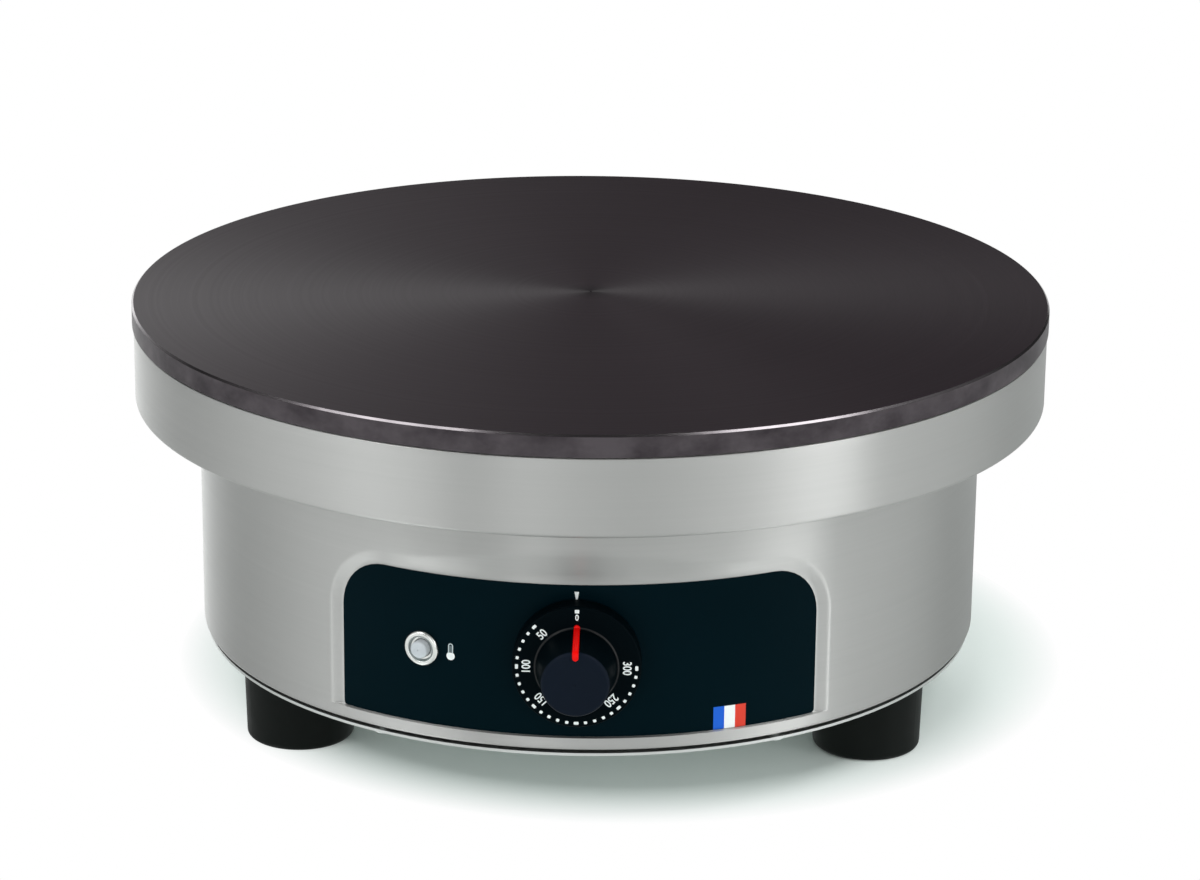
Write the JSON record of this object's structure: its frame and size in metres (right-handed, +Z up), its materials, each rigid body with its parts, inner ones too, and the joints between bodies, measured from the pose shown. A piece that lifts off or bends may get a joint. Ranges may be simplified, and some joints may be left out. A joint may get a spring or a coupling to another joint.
{
  "type": "electric crepe maker",
  "caption": "Round electric crepe griddle: cast iron plate on a stainless drum casing with feet, control panel, temperature knob and indicator lamp.",
  "frame": {"origin": "on the floor below the centre of the griddle plate", "axes": "+Z up, the control panel and the knob face -Y, +X to the right as seen from the front"},
  "size_m": [0.3999, 0.4, 0.181],
  "materials": {
    "turned_cast_iron": "machined and oiled, with fine concentric turning",
    "gasket_fibre": "pressed mineral fibre",
    "element_sheath": "annealed dark steel sheath",
    "ceramic": "glazed white ceramic",
    "galvanised_steel": "zinc plated steel",
    "brass_parts": "plain brass and copper",
    "brushed_stainless": "satin brushed stainless steel",
    "sheet_steel": "plain stainless sheet",
    "foot_rubber": "black rubber",
    "overlay_film": "printed film, satin",
    "knob_black": "moulded black plastic, semi gloss",
    "pointer_red": "moulded red plastic",
    "thermostat_plastic": "black phenolic",
    "bezel_chrome": "bright chrome",
    "clear_lens": "clear moulded lens",
    "gland_plastic": "black moulded plastic",
    "wire_brown": "insulated wire",
    "wire_black": "insulated wire",
    "wire_blue": "insulated wire",
    "wire_green_yellow": "insulated wire",
    "wire_grey": "insulated wire"
  },
  "bodies": {
    "housing": {"griddle_plate": "turned_cast_iron", "rim_gasket": "gasket_fibre", "heating_element_inner": "element_sheath", "heating_element_middle": "element_sheath", "heating_element_outer": "element_sheath", "element_end_beads": "ceramic", "element_pins": "galvanised_steel", "element_link_live": "brass_parts", "element_link_neutral": "brass_parts", "clamp_plate": "galvanised_steel", "plate_studs": "galvanised_steel", "stud_nuts": "galvanised_steel", "insulation_blanket": "gasket_fibre", "heat_shield": "sheet_steel", "tie_rods": "galvanised_steel", "tie_rod_washers": "galvanised_steel", "tie_rod_nuts": "galvanised_steel", "upper_skirt": "brushed_stainless", "skirt_screws": "galvanised_steel", "skirt_nuts": "galvanised_steel", "drum_shell": "brushed_stainless", "base_plate": "sheet_steel", "base_screws": "galvanised_steel", "base_screw_nuts": "galvanised_steel", "foot_front_left": "foot_rubber", "foot_front_right": "foot_rubber", "foot_rear": "foot_rubber", "foot_inserts": "galvanised_steel", "control_overlay": "overlay_film", "control_bracket": "sheet_steel", "bracket_screws": "galvanised_steel", "thermostat_body": "thermostat_plastic", "thermostat_screws": "galvanised_steel", "thermostat_terminals": "brass_parts", "capillary_tube": "brass_parts", "sensor_bulb": "brass_parts", "indicator_bezel": "bezel_chrome", "indicator_lens": "clear_lens", "indicator_body": "thermostat_plastic", "indicator_nut": "galvanised_steel", "indicator_terminals": "brass_parts", "indicator_wires": "wire_grey", "terminal_block": "ceramic", "terminal_clamps": "brass_parts", "terminal_block_screws": "galvanised_steel", "earth_stud": "brass_parts", "earth_nuts": "brass_parts", "gland_body": "gland_plastic", "gland_lock_nut": "gland_plastic", "gland_seal": "foot_rubber", "gland_dome_nut": "gland_plastic", "live_supply_wire": "wire_brown", "live_switched_wire": "wire_black", "neutral_wire": "wire_blue", "earth_wire": "wire_green_yellow"},
    "knob": {"knob_body": "knob_black", "knob_pointer": "pointer_red", "knob_spring_clip": "galvanised_steel", "thermostat_spindle": "galvanised_steel"}
  },
  "joints": [
    {"name": "knob_turn", "type": "hinge", "parent": "housing", "child": "knob", "pos_m": [0, -0.175, 0.0754], "axis": [0, 1, 0], "range_deg": [0, 270]}
  ]
}
